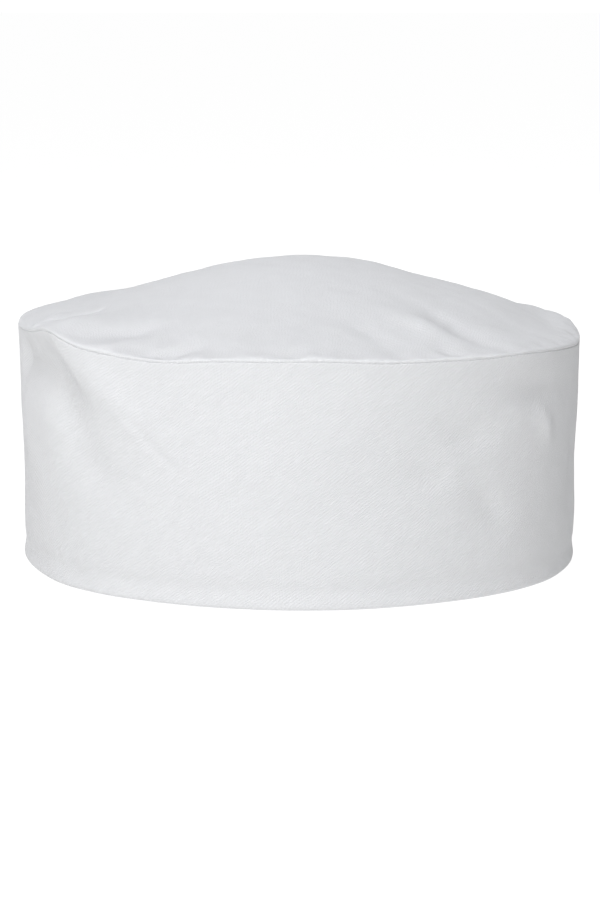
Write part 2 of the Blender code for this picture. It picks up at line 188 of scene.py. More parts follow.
def outline(middle, thickness):
    """The closed outline of a strip of cloth in section, with round ends, from the line along its middle."""
    along = np.gradient(middle, axis=0)
    along /= np.linalg.norm(along, axis=1)[:, None]
    side = np.stack([-along[:, 1], along[:, 0]], -1) * thickness / 2
    tip, tail = along[-1] * thickness / 2, -along[0] * thickness / 2
    round_end = ((0.7, 0.7), (0, 1), (-0.7, 0.7))
    end = [middle[-1] + side[-1] * c + tip * s for c, s in round_end]
    start = [middle[0] - side[0] * c + tail * s for c, s in round_end]
    return np.concatenate([middle + side, end, (middle - side)[::-1], start])


# Folds in the cloth


class Fold(NamedTuple):
    """A ridge in the cloth, or a valley where its height is below 0, along a smooth path through points."""

    path: list
    width: float
    height: float
    ends: tuple = (0, 0)  # shares of the height at the path's two ends
    sharp: bool = False


def fold_lift(points, fold, unit=1):
    """How far a fold lifts the cloth at some 2-D points. unit turns its path into millimetres."""
    lift = np.zeros(len(points))
    line = curve_through(np.array(fold.path) * unit)
    reach_of_fold = fold.width * (6 if fold.sharp else 3)
    low, high = line.min(0) - reach_of_fold, line.max(0) + reach_of_fold
    near = np.all((points > low) & (points < high), axis=1)
    places = points[near]
    s = lengths(line)
    best = np.full(len(places), np.inf)
    where = np.zeros(len(places))
    for a, b, start in zip(line, line[1:], s):
        along = b - a
        reach = np.linalg.norm(along)
        t = np.clip((places - a) @ along / reach**2, 0, 1)
        gap = np.linalg.norm(places - a - t[:, None] * along, axis=1)
        nearer = gap < best
        best = np.where(nearer, gap, best)
        where = np.where(nearer, (start + t * reach) / s[-1], where)
    rising = fold.ends[0] + (1 - fold.ends[0]) * smooth(where * 2)
    falling = fold.ends[1] + (1 - fold.ends[1]) * smooth(2 - where * 2)
    share = np.exp(-best / fold.width) if fold.sharp else np.exp(-((best / fold.width) ** 2))
    lift[near] = fold.height * np.where(where < 0.5, rising, falling) * share
    return lift


def ripples(points, amplitude, seed, longest=45.0, shortest=9.0, count=28):
    """The slight unevenness of cloth: a sum of waves in all directions, with the long ones highest."""
    random = np.random.default_rng(seed)
    total = np.zeros(len(points))
    for _ in range(count):
        wavelength = longest * (shortest / longest) ** random.random()
        direction = random.random() * 2 * math.pi
        across = points @ np.array([math.cos(direction), math.sin(direction)])
        total += wavelength / longest * np.sin(2 * math.pi * (across / wavelength + random.random()))
    return amplitude * total / math.sqrt(count / 8)


# In the band: the points are an angle and a height
WALL_FOLDS = [
    # The pull from the front right of the wearer's head, down across the band
    Fold([(-76, 71), (-66, 69), (-58, 66), (-51, 61), (-45, 54), (-39, 46)], 8.0, -5.6, (0.8, 0)),
    Fold([(-66, 75), (-57, 72), (-51, 68), (-45, 62), (-40, 55)], 3.5, -1.8, (0.5, 0)),
    Fold([(-52, 78), (-44, 73), (-37, 65), (-31, 56), (-24, 48)], 6.0, 1.2, (0.3, 0)),
    Fold([(-37, 66), (-31, 56), (-24, 45), (-20, 40)], 1.8, -0.5),
    Fold([(-80, 64), (-72, 50), (-64, 36), (-58, 22)], 8, 1.2, (0.3, 0)),
    Fold([(-52, 54), (-45, 45), (-38, 37), (-32, 32)], 8, -1.5, (0.3, 0)),
    Fold([(-58, 30), (-50, 16)], 9, -0.5),
    # The other side
    Fold([(33, 72), (42, 68), (51, 67), (60, 68), (72, 71)], 5.5, -2.2),
    Fold([(49, 62), (54, 56), (56, 44)], 4, 1.2),
    Fold([(24, 60), (32, 55), (42, 53)], 5, -0.9),
    Fold([(18, 46), (26, 42), (32, 38)], 4.5, -0.7),
    Fold([(30, 44), (36, 36), (40, 26), (42, 14)], 6, -1.0),
    Fold([(66, 58), (72, 44), (71, 28), (68, 14)], 7, -1.2),
    Fold([(92, 62), (90, 38), (88, 12)], 15, -3.6, (0.2, 0.2)),
    # The back quarters, where the band eases towards the opening
    Fold([(118, 70), (126, 50), (132, 28)], 9, -1.0),
    Fold([(108, 74), (112, 56), (110, 36)], 8, 0.8),
    Fold([(-112, 72), (-120, 54), (-130, 40)], 8, -1.1),
    Fold([(-104, 60), (-106, 40), (-112, 20)], 9, 0.9),
]

# In the crown: the points are x and y from its middle, on the cloth laid flat
CROWN_FOLDS = [
    # Creases that run out from the left corner
    Fold([(-95, -31), (-92, -24), (-89, -16), (-86, -6)], 1.2, -2.6, (0.9, 0.1), sharp=True),
    Fold([(-92, -35), (-85, -30), (-79, -29), (-71, -25), (-66, -17)], 1.3, -2.8, (0.8, 0), sharp=True),
    Fold([(-91, -31), (-87, -24), (-82, -14)], 3.0, 1.3, (0.6, 0)),
    Fold([(-97, -24), (-96, -8), (-94, 6)], 4.0, 1.0, (0.5, 0)),
    # Soft valleys over the front left
    Fold([(-72, -58), (-65, -63), (-53, -63), (-38, -62)], 5.5, -1.5, (0.3, 0)),
    Fold([(-48, -86), (-36, -86), (-26, -82)], 5, -0.9, (0.4, 0)),
    # The pull to the right, with the cloth falling away beyond it
    Fold([(24, -46), (33, -58), (46, -67), (59, -77)], 7, 1.3, (0, 0.4)),
    Fold([(36, -36), (46, -50), (56, -64), (64, -74)], 7, -1.9, (0, 0.5)),
    Fold([(62, -30), (72, -44), (80, -48)], 13, -1.3, (0.2, 0.2)),
    Fold([(17, -60), (23, -76), (30, -90)], 5.5, -0.9, (0, 0.4)),
    Fold([(40, -82), (49, -84), (58, -81)], 2.5, -0.5),
    # The right shoulder and the top stand a little high
    Fold([(93, -26), (95, -8), (94, 12), (88, 34), (74, 56)], 7, 1.8, (0.3, 0)),
    Fold([(-20, 30), (20, 34), (44, 36)], 32, 1.0, (0.4, 0.4)),
    # The back
    Fold([(44, 36), (54, 52), (58, 62)], 7, -0.8),
    Fold([(20, 60), (30, 76), (36, 92)], 7, -0.8, (0, 0.4)),
    Fold([(-16, 62), (-22, 80), (-24, 96)], 6, 0.8, (0, 0.4)),
    Fold([(-36, 54), (-44, 72), (-47, 84)], 7, -0.9, (0, 0.3)),
]


def wrapped(angle):
    return (np.asarray(angle, float) + 180) % 360 - 180


def wall_lift(angle, z):
    """How far out of the round the band stands, at these angles and heights."""
    points = np.stack([np.radians(angle) * SEAM_RADIUS, z], -1)
    unit = (math.radians(1) * SEAM_RADIUS, 1)
    lift = sum(fold_lift(points, fold, unit) for fold in WALL_FOLDS)
    a = np.radians(angle)
    lift += 0.25 * np.sin(3 * a + 0.06 * z + 1) + 0.15 * np.sin(7 * a - 0.09 * z)
    lift += ripples(points, 0.07, seed=3)
    # The band is a little square at the front, and its hem turns out
    lift += 2.4 * np.exp(-(((np.abs(angle) - 50) / 18) ** 2))
    hem_flare = 0.45 * np.exp(-((z / 3.0) ** 2)) - 0.35 * np.exp(-(((z - 6.5) / 2.5) ** 2))
    near_back = smooth((180 - np.abs(angle) - 34) / 24)
    return (lift + hem_flare) * near_back


def hump(angle, middle, width):
    """A smooth hump, 1 high, round an angle."""
    return np.exp(-(((angle - middle) / width) ** 2))


def seam_rise(angle):
    """How far the crown seam stands above its ideal height: more on the wearer's right, and wandering."""
    a = np.radians(angle)
    back = smooth((180 - np.abs(angle) - 20) / 30)
    right = 2.9 * hump(angle, -57, 8) - 1.7 * hump(angle, -80, 8) - 2.4 * hump(angle, -31, 14)
    left = -1.6 * smooth((angle - 55) / 20) * smooth((102 - angle) / 22)
    return -2.0 * np.sin(a) + back * (right + left + 0.2 * np.sin(9 * a + 1) + 0.12 * np.sin(17 * a))


def drape(angle, radius, z):
    """Where a place on the ideal cap ends up, as an (n, 3) array of x, y and z."""
    angle, radius, z = (np.asarray(v, float).ravel() for v in np.broadcast_arrays(angle, radius, z))
    angle = wrapped(angle)
    near_wall = smooth((radius - 66) / 26)
    radius = radius + near_wall * wall_lift(angle, np.minimum(z, BAND_TOP))
    z = z + near_wall * seam_rise(angle) * smooth(z / BAND_TOP)
    a = np.radians(angle)
    return np.stack([radius * np.sin(a), -radius * np.cos(a), z], -1)


def wall_radius(z):
    return RIM_RADIUS + (SEAM_RADIUS - RIM_RADIUS) * np.asarray(z) / BAND_TOP


STRAP_WALL_RADIUS = float(wall_radius(STRAP_LOW))  # the straps stand straight, so all heights have one radius


def in_wall(angle, depth, z):
    """A point this deep in the side band. Its depth is measured from the band's outer face."""
    return drape(angle, wall_radius(z) - depth, z)


def back_angle(x, depth, z):
    """The angle from the front of a point on the back of the cap that is given by its x."""
    return 180 - np.degrees(np.arcsin(x / (wall_radius(z) - depth)))


def at_back(x, depth, z):
    return in_wall(back_angle(x, depth, z), depth, z)


# Meshes


def make_mesh(name, points, faces, uv=None, material=None):
    mesh = bpy.data.meshes.new(name)
    mesh.from_pydata((np.asarray(points) * MM).tolist(), [], np.asarray(faces).tolist())
    if uv is not None:
        layer = mesh.uv_layers.new(name="UVMap")
        corner = np.zeros(len(mesh.loops), np.int32)
        mesh.loops.foreach_get("vertex_index", corner)
        layer.data.foreach_set("uv", (np.asarray(uv)[corner] * MM).astype(np.float32).ravel())
    mesh.shade_smooth()
    obj = bpy.data.objects.new(name, mesh)
    bpy.context.scene.collection.objects.link(obj)
    if material:
        mesh.materials.append(material)
    return obj


def grid_faces(columns, rows, closed=False, keep=None, closed_rows=False):
    """Quads between the points of a grid that is stored column by column."""
    i = np.arange(columns if closed else columns - 1)
    j = np.arange(rows if closed_rows else rows - 1)
    i, j = np.meshgrid(i, j, indexing="ij")
    if keep is not None:
        i, j = i[keep(i, j)], j[keep(i, j)]
    i, j = i.ravel(), j.ravel()
    n, up = (i + 1) % columns, (j + 1) % rows
    return np.stack([i * rows + j, i * rows + up, n * rows + up, n * rows + j], -1)


def strip_faces(columns, rows):
    """Quads of a closed section of an even number of points, carried along, with its two ends closed."""
    i = np.arange(rows // 2 - 1)
    end = np.stack([i, i + 1, rows - 2 - i, rows - 1 - i], -1)
    return np.concatenate([grid_faces(columns, rows, closed_rows=True), end, end + (columns - 1) * rows])


def weld(obj, distance=1e-6):
    """Join points that lie in one place, unless distance is 0, and turn all faces outwards."""
    bm = bmesh.new()
    bm.from_mesh(obj.data)
    if distance:
        bmesh.ops.remove_doubles(bm, verts=bm.verts, dist=distance)
    bmesh.ops.recalc_face_normals(bm, faces=bm.faces)
    bm.to_mesh(obj.data)
    bm.free()
    return obj


def thicken(obj, thickness=CLOTH):
    solid = obj.modifiers.new("thickness", "SOLIDIFY")
    solid.thickness = thickness * MM
    solid.offset = 0
    solid.use_even_offset = False


def edge_spaced(length, edge, spacing):
    """Places along a length, with extra ones near the ends, where a soft edge is round."""
    close = edge * np.array([0, 0.12, 0.4, 0.75])
    middle = np.linspace(edge, length - edge, max(2, round((length - 2 * edge) / spacing)))
    return np.concatenate([close, middle, length - close[::-1]])


def slab(name, place, length, width, thickness, material, corner, spacing, puff=0.0):
    """A flat soft strip with round edges. place(s, t, lift) gives points from distances along and across."""
    edge = thickness / 2
    s, t = np.meshgrid(edge_spaced(length, edge, spacing), edge_spaced(width, edge, spacing), indexing="ij")
    columns, rows = s.shape
    end = np.minimum(s, length - s)
    inset = corner - np.sqrt(np.maximum(0, corner**2 - (corner - np.minimum(end, corner)) ** 2))
    half_width = width / 2 - inset
    across = (t / (width / 2) - 1) * half_width
    border = np.minimum(end, half_width - np.abs(across))
    half = edge * np.sqrt(np.maximum(0, 1 - (1 - np.clip(border / edge, 0, 1)) ** 2))
    half = half + puff * smooth(border / 4)
    s, t, half = s.ravel(), (width / 2 + across).ravel(), half.ravel()
    points = np.concatenate([place(s, t, half), place(s, t, -half)])
    outer = grid_faces(columns, rows)
    inner = outer[:, ::-1] + columns * rows
    uv = np.tile(np.stack([s, t], -1), (2, 1))
    return weld(make_mesh(name, points, np.concatenate([outer, inner]), uv, material))


class Tubes:
    """Threads, hooks and loops: many short tubes gathered into one mesh."""

    def __init__(self, sides=6):
        self.sides = sides
        self.parts = []
        self.count = 0

    def add(self, middle, radius, normal):
        """A tube for each row of middle, an (n, k, 3) array, as normal is. radius is an array of k."""
        n, k, _ = middle.shape
        along = np.gradient(middle, axis=1)
        along /= np.linalg.norm(along, axis=2, keepdims=True) + 1e-9
        side = np.cross(along, normal)
        side /= np.linalg.norm(side, axis=2, keepdims=True) + 1e-9
        top = np.cross(side, along)
        turn = np.arange(self.sides) * 2 * math.pi / self.sides
        ring = side[:, :, None] * np.cos(turn)[:, None] + top[:, :, None] * np.sin(turn)[:, None]
        points = middle[:, :, None] + ring * np.asarray(radius)[None, :, None, None]
        offset = self.count + np.arange(n) * k * self.sides
        faces = strip_faces(k, self.sides)[None] + offset[:, None, None]
        run = np.cumsum(np.linalg.norm(np.diff(middle, axis=1, prepend=middle[:, :1]), axis=2), axis=1)
        uv = np.stack(np.broadcast_arrays(run[:, :, None], turn / (2 * math.pi)), -1)
        self.parts.append((points.reshape(-1, 3), faces.reshape(-1, 4), uv.reshape(-1, 2)))
        self.count += n * k * self.sides

    def build(self, name, material):
        points, faces, uv = (np.concatenate(part) for part in zip(*self.parts))
        return weld(make_mesh(name, points, faces, uv, material), distance=0)


STITCH_SHAPE = np.array([0.35, 0.85, 1.0, 1.05, 1.0, 0.85, 0.35])  # thickness along a stitch
STITCH_LIFT = np.array([-1.3, -0.1, 0.45, 0.55, 0.45, -0.1, -1.3])  # height of its middle, in thread radii


def stitch_run(tubes, place, start, end, pitch=3.0):
    """A run of stitches between two distances along a seam. place(s, lift) gives points off the cloth."""
    number = max(1, round(abs(end - start) / pitch))
    step = (end - start) / number
    gap = STITCH_GAP / pitch
    first = start + step * (np.arange(number) + gap / 2)
    s = first[:, None] + step * (1 - gap) * np.linspace(0, 1, len(STITCH_SHAPE))[None, :]
    lift = np.broadcast_to(STITCH_LIFT * THREAD_RADIUS, s.shape)
    middle = place(s.ravel(), lift.ravel()).reshape(*s.shape, 3)
    above = place(s.ravel(), lift.ravel() + 0.1).reshape(*s.shape, 3)
    tubes.add(middle, STITCH_SHAPE * THREAD_RADIUS, above - middle)


def stitch_path(tubes, corners, pitch=3.0, outside=False, closed=False, put=in_wall):
    """Stitches along straight runs between corners, each an angle from the front, a depth and a height."""
    corners = np.array(corners, float)
    if closed:
        corners = np.concatenate([corners, corners[:1]])
    sign = -1 if outside else 1
    scale = np.array([math.radians(1) * RIM_RADIUS, 1, 1])
    for a, b in zip(corners, corners[1:]):
        reach = np.linalg.norm((b - a) * scale)

        def place(s, lift):
            angle, depth, z = (a[k] + (b[k] - a[k]) * s / reach for k in range(3))
            return put(angle, depth + sign * lift, z)

        stitch_run(tubes, place, 0, reach, pitch)


def finish_piece(obj, slot, *nodes, body="cap"):
    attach(obj, body)
    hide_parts(*nodes)


def sew(name, node, thread, *rows, body="cap", **how):
    """A piece of stitching, with a row along each list of corners."""
    stitches = Tubes()
    for corners in rows:
        stitch_path(stitches, corners, **how)
    finish_piece(stitches.build(name, thread), "thread", node, body=body)


# The crown


def crown_profile():
    """The middle of the crown's cloth: over the dome, round shoulder and lip, and down inside the band."""
    half = CLOTH / 2
    dome_z = CROWN_HEIGHT - DOME_RADIUS
    shoulder = (SEAM_RADIUS - SHOULDER_RADIUS, BAND_TOP + 0.4)
    # Between them the cloth lies straight, as a belt does on two pulleys
    across, up = shoulder[0], shoulder[1] - dome_z
    slope = math.atan2(across, up) - math.acos((DOME_RADIUS - SHOULDER_RADIUS) / math.hypot(across, up))
    slope = math.degrees(slope)
    inside = SEAM_RADIUS - ALLOWANCE_DEPTH
    lip_z = BAND_TOP + LIP_RADIUS + half - SEAM_PRESS / 2
    path = [
        arc((0, dome_z), DOME_RADIUS - half, 0, slope, 24),
        arc(shoulder, SHOULDER_RADIUS - half, slope, 90, 12),
        arc((SEAM_RADIUS - half - LIP_RADIUS, lip_z), LIP_RADIUS, 90, 180, 8),
        arc((inside + LIP_RADIUS, lip_z - 2 * LIP_RADIUS), LIP_RADIUS, 0, -90, 4),
        np.array([(inside, BAND_TOP - ALLOWANCE_LENGTH)]),
    ]
    over, rest = np.concatenate([path[0], path[1][:1]]), np.concatenate(path[1:])
    profile = np.concatenate([resample(over, 0.7), resample(rest, 0.3)[1:]])
    profile[0, 0] = 0.02
    return profile


def make_crown(material):
    profile = crown_profile()
    steps, rows = 960, len(profile)
    run = lengths(profile)
    tangent = np.gradient(profile, axis=0)
    tangent /= np.linalg.norm(tangent, axis=1)[:, None]
    normal = np.stack([-tangent[:, 1], tangent[:, 0]], -1)
    angle = np.repeat(np.linspace(-180, 180, steps, endpoint=False), rows)
    a = np.radians(angle)
    flat_run = np.tile(run, steps)
    flat = np.stack([flat_run * np.sin(a), -flat_run * np.cos(a)], -1)
    lift = ripples(flat, 0.16, seed=5) + sum(fold_lift(flat, fold) for fold in CROWN_FOLDS)
    # The cloth puckers towards the seam, and lies still on it
    from_seam = run[np.argmax(profile[:, 0])] - flat_run
    along_seam = np.stack([a * SEAM_RADIUS, flat_run / 2], -1)
    puckers = ripples(along_seam, 0.2, seed=8, longest=20, shortest=5)
    lift += puckers * np.exp(-(((from_seam - 3) / 5) ** 2))
    lift *= smooth((from_seam + 0.5) / 3)
    lifted = np.tile(profile, (steps, 1)) + lift[:, None] * np.tile(normal, (steps, 1))
    points = drape(angle, lifted[:, 0], lifted[:, 1])
    crown = make_mesh("crown_cloth", points, grid_faces(steps, rows, closed=True), flat, material)
    thicken(crown)
    finish_piece(crown, "white_twill", "crown_panel")


# The side band


def opening_height(x):
    """How high the size opening is at x."""
    share = np.clip(np.abs(x) / OPENING_HALF_WIDTH, 0, 1)
    return OPENING_SIDE_HEIGHT + (OPENING_HEIGHT - OPENING_SIDE_HEIGHT) * np.sqrt(1 - share**2)


def band_angles():
    """Angles round the band: even, but closer over the opening and near the back seam, which is at the ends.
    The second value is how many columns lie over the opening, either side."""
    corner = 180 - math.degrees(math.asin(OPENING_HALF_WIDTH / RIM_RADIUS))
    x = OPENING_HALF_WIDTH * np.cos(np.linspace(0, math.pi / 2, 33))[1:-1]
    x = np.concatenate([x, [0.8, 0.4, 0.15, 0]])
    inner = 180 - np.degrees(np.arcsin(x / RIM_RADIUS))
    return np.concatenate([-inner[::-1], np.linspace(-corner, corner, 641), inner]), len(x)


def make_band(material):
    """One strip folded at the rim and joined at the centre back. The opening is cut out of both its legs."""
    half = CLOTH / 2
    angles, spare = band_angles()
    columns = len(angles)
    column = np.arange(columns)
    x = RIM_RADIUS * np.sin(np.radians(angles))
    over_opening = (column <= spare) | (column >= columns - spare - 1)
    low_z = np.where(over_opening, opening_height(x), OPENING_SIDE_HEIGHT)[:, None]
    roll_z = BAND_TOP - half + SEAM_PRESS / 2 - LIP_RADIUS
    roll = arc((half + LIP_RADIUS, roll_z), LIP_RADIUS, 0, -90, 4)[:-1]
    roll = np.tile(roll, (columns, 1, 1))
    upper = roll_z + (low_z - roll_z) * np.linspace(0, 1, 64)[None, :]
    lower = np.tile(np.linspace(OPENING_SIDE_HEIGHT, half + HEM_RADIUS, 16)[1:], (columns, 1))
    hem = arc((HEM_RADIUS + half, half + HEM_RADIUS), HEM_RADIUS, -90, -270, 8)[1:]
    hem = np.tile(hem, (columns, 1, 1))
    # Down the outer leg, round the hem and up the inner leg
    legs = [
        (roll[:, :, 1], roll[:, :, 0]),
        (upper, half),
        (lower, half),
        (hem[:, :, 1], hem[:, :, 0]),
        (lower[:, ::-1][:, 1:], INNER_LEG_DEPTH),
        (upper[:, ::-1], INNER_LEG_DEPTH),
    ]
    z = np.concatenate([heights for heights, _ in legs], 1)
    depth = np.concatenate([np.broadcast_to(depths, heights.shape) for heights, depths in legs], 1)
    rows = z.shape[1]
    first_cut = roll.shape[1] + upper.shape[1] - 1
    last_cut = rows - upper.shape[1]
    # The join at the centre back, where the two ends of the strip turn in
    turned_in = 0.7 * np.exp(-np.abs(x) / 0.45) * over_opening
    depth = depth + (np.arange(rows) <= first_cut) * turned_in[:, None]

    def keep(i, j):
        crossing = (i < spare) | (i >= columns - spare - 1)
        return ~(crossing & (j >= first_cut) & (j < last_cut))

    angle = np.repeat(angles, rows)
    points = in_wall(angle, depth.ravel(), z.ravel())
    down_side = np.where(np.arange(rows)[None, :] <= rows // 2, z, -z)
    uv = np.stack([np.radians(angle) * RIM_RADIUS, down_side.ravel()], -1)
    faces = grid_faces(columns, rows, keep=keep)
    band = weld(make_mesh("side_band_cloth", points, faces, uv, material))
    thicken(band)
    finish_piece(band, "white_twill", "side_band")


def make_interlining(material):
    """The stiffener between the band's layers. It shows only where the cap is taken apart."""
    thickness = 0.7
    angles, spare = band_angles()
    columns, rows = len(angles), 40
    x = RIM_RADIUS * np.sin(np.radians(angles))
    over_opening = (np.arange(columns) < spare) | (np.arange(columns) >= columns - spare)
    low = np.where(over_opening, opening_height(x), CLOTH + GAP)[:, None]
    high = BAND_TOP - 1.9
    z = (low + (high - low) * np.linspace(0, 1, rows)[None, :]).ravel()
    angle = np.repeat(angles, rows)
    points = in_wall(angle, INTERLINING_DEPTH, z)
    uv = np.stack([np.radians(angle) * RIM_RADIUS, z], -1)
    piece = weld(make_mesh("interlining_layer", points, grid_faces(columns, rows), uv, material))
    thicken(piece, thickness)
    finish_piece(piece, "interlining", "band_interlining")


# Inside the cap


def make_seam_binding(material, thread):
    """Tape folded over the raw edge of the crown's allowance, with its row of stitches."""
    outer, inner = LINING_DEPTH + TAPE / 2, SEAM_BINDING_DEPTH - TAPE / 2
    radius = (inner - outer) / 2
    turn_z = SEAM_BINDING_LOW + TAPE / 2 + radius
    top_z = BAND_TOP - 1.8
    turn = arc(((outer + inner) / 2, turn_z), radius, -90, -270, 8)
    path = np.concatenate([[(outer, top_z)], turn, [(inner, top_z)]])
    section = outline(resample(path, 0.7), TAPE)
    columns, rows = 480, len(section)
    angle = np.repeat(np.linspace(-180, 180, columns, endpoint=False), rows)
    points = in_wall(angle, *(np.tile(section[:, k], columns) for k in range(2)))
    uv = np.stack([np.radians(angle) * RIM_RADIUS, np.tile(lengths(section), columns)], -1)
    faces = grid_faces(columns, rows, closed=True, closed_rows=True)
    piece = weld(make_mesh("seam_binding_tape", points, faces, uv, material))
    finish_piece(piece, "binding_tape", "crown_seam_binding")
    row = [(end, SEAM_BINDING_DEPTH, CROWN_STITCH_Z) for end in (-180, 180)]
    sew("seam_stitches", "crown_seam_stitching", thread, row)


def make_sweatband(material, thread):
    """An absorbent strip with a looped face, sewn inside the band along both edges."""
    half = SWEATBAND_THICKNESS / 2
    middle = LINING_DEPTH + half
    end = 180 - math.degrees(math.asin(SWEATBAND_END_X / (RIM_RADIUS - middle)))
    upright = np.array([(middle, SWEATBAND_LOW + half), (middle, SWEATBAND_HIGH - half)])
    section = outline(resample(upright, 0.8), SWEATBAND_THICKNESS)
    columns, rows = 560, len(section)
    angle = np.repeat(np.linspace(-end, end, columns), rows)
    depth = np.tile(section[:, 0], (columns, 1))
    z = np.tile(section[:, 1], (columns, 1))
    # The loops stand up away from the two rows of stitches
    stitch_rows = SWEATBAND_LOW + SWEATBAND_STITCH_INSET, SWEATBAND_HIGH - SWEATBAND_STITCH_INSET
    from_stitches = np.abs(np.abs(z - sum(stitch_rows) / 2) - (stitch_rows[1] - stitch_rows[0]) / 2)
    random = np.random.default_rng(11)
    pile = 0.45 * smooth(from_stitches / 2.5) + 0.22 * random.random(z.shape)
    depth = np.where(depth > middle, depth + pile, depth)
    points = in_wall(angle, depth.ravel(), z.ravel())
    uv = np.stack([np.radians(angle) * RIM_RADIUS, z.ravel()], -1)
    piece = weld(make_mesh("sweatband_terry", points, strip_faces(columns, rows), uv, material))
    finish_piece(piece, "sweatband_cloth", "sweatband")
    face = LINING_DEPTH + SWEATBAND_THICKNESS + 0.1
    for name, height in zip(("lower", "upper"), stitch_rows):
        row = [(1 - end, face, height), (end - 1, face, height)]
        sew(f"sweatband_stitches_{name}", f"sweatband_stitching_{name}", thread, row)


def make_label(material, thread):
    """A blank care label that hangs from the seam binding and curls away from the band at its foot."""
    length = LABEL_HIGH - LABEL_LOW
    middle = 180 - LABEL_ANGLE

    def place(s, t, lift):
        from_middle = t - LABEL_WIDTH / 2
        angle = middle + np.degrees(from_middle / (SEAM_RADIUS - LINING_DEPTH))
        curl = 2.6 * smooth((s - 8) / (length - 4)) + 0.5 * smooth(s / 12) * (from_middle / 12) ** 2
        return in_wall(angle, LINING_DEPTH + TAPE / 2 + curl - lift, LABEL_HIGH - s)

    label = slab("care_label_satin", place, length, LABEL_WIDTH, TAPE, material, corner=0.4, spacing=0.7)
    finish_piece(label, "label_satin", "care_label")
    reach = math.degrees(LABEL_WIDTH / 2 / SEAM_RADIUS) - 1
    row = [(middle + side * reach, LINING_DEPTH + TAPE, LABEL_HIGH - 1.5) for side in (-1, 1)]
    sew("care_label_stitches", "care_label_stitching", thread, row, pitch=2.4)


# The back


def opening_path(offset):
    """The opening's edge in x and z, from its foot at +X, moved out by offset. Also its normals."""
    a = np.linspace(0, math.pi, 241)
    rise = OPENING_HEIGHT - OPENING_SIDE_HEIGHT
    edge = np.stack([OPENING_HALF_WIDTH * np.cos(a), OPENING_SIDE_HEIGHT + rise * np.sin(a)], -1)
    out = np.stack([np.cos(a) / OPENING_HALF_WIDTH, np.sin(a) / rise], -1)
    out /= np.linalg.norm(out, axis=1)[:, None]
    heights = np.linspace(CLOTH, OPENING_SIDE_HEIGHT, 24)[:-1]
    foot = np.stack([np.full_like(heights, OPENING_HALF_WIDTH), heights], -1)
    sideways = np.tile([1.0, 0.0], (len(heights), 1))
    mirror = np.array([-1, 1])
    edge = np.concatenate([foot, edge, (foot * mirror)[::-1]])
    out = np.concatenate([sideways, out, (sideways * mirror)[::-1]])
    both = resample(edge + out * offset, 0.9, out)
    return both[:, :2], both[:, 2:]


def make_opening_binding(material, thread):
    """Bias binding round the size opening, over both layers of the band, with stitches on both faces."""
    outer, inner = -GAP - CLOTH / 2, LINING_DEPTH + CLOTH / 2
    middle = (outer + inner) / 2
    leg = [(BINDING_WIDTH - 0.3, 0), (BINDING_STITCH_OFFSET, 0.13), (2.2, -0.1), (0.9, 0)]
    turn = [(-0.1, 0.2), (-0.55, 0.8)]
    way = [(o, outer + d) for o, d in leg + turn] + [(-0.62, middle)]
    way += [(o, inner - d) for o, d in (leg + turn)[::-1]]
    section = outline(resample(curve_through(way, 6), 0.45), CLOTH)
    path, out = opening_path(0)
    columns, rows = len(path), len(section)
    pucker = 0.07 * np.sin(np.arange(columns) * 0.9 * 2 * math.pi / 3.0)[:, None]
    pucker = pucker * smooth(section[:, 0] / 3)[None, :]
    away = np.sign(section[:, 1] - middle)[None, :]
    x = (path[:, :1] + out[:, :1] * section[:, 0]).ravel()
    z = (path[:, 1:] + out[:, 1:] * section[:, 0]).ravel()
    depth = (section[:, 1][None, :] + pucker * away).ravel()
    uv = np.stack([np.repeat(lengths(path), rows), np.tile(lengths(section), columns)], -1)
    faces = strip_faces(columns, rows)
    piece = weld(make_mesh("opening_binding_tape", at_back(x, depth, z), faces, uv, material))
    finish_piece(piece, "binding_tape", "back_opening_binding")

    line, _ = opening_path(BINDING_STITCH_OFFSET)
    s_line = lengths(line)
    stitches = Tubes()
    for face, sign in ((outer - CLOTH / 2 + 0.1, -1), (inner + CLOTH / 2 - 0.1, 1)):

        def place(s, lift):
            x, z = (np.interp(s, s_line, line[:, k]) for k in range(2))
            return at_back(x, face + sign * lift, z)

        stitch_run(stitches, place, 1, s_line[-1] - 1)
    finish_piece(stitches.build("opening_stitches", thread), "thread", "back_opening_stitching")


def make_back_seam(material, thread):
    """Tape over the inside of the band's join, with a row of stitches along each edge."""
    width = 7.0

    def place(s, t, lift):
        return at_back(t - width / 2, LINING_DEPTH + TAPE / 2 - lift, SEAM_TAPE_LOW + s)

    length = SEAM_TAPE_HIGH - SEAM_TAPE_LOW
    piece = slab("back_join_tape", place, length, width, TAPE, material, corner=0.3, spacing=0.6)
    finish_piece(piece, "binding_tape", "back_seam_tape")
    depth = LINING_DEPTH + TAPE
    ends = SEAM_TAPE_LOW + 1, SEAM_TAPE_HIGH - 1
    rows = [[(back_angle(x, depth, z), depth, z) for z in ends] for x in (-2.5, 2.5)]
    sew("back_join_stitches", "back_seam_stitching", thread, *rows)


def on_strap(angle, depth, z):
    """A point on a strap."""
    return drape(angle, STRAP_WALL_RADIUS - depth, z)


def closing_depth(angle):
    """The closing strap comes from inside the band, and crosses to the outside of the receiving strap."""
    share = smooth((angle - CROSSOVER[0]) / (CROSSOVER[1] - CROSSOVER[0]))
    return STRAP_DEPTH + (CLOSING_STRAP_DEPTH - STRAP_DEPTH) * share


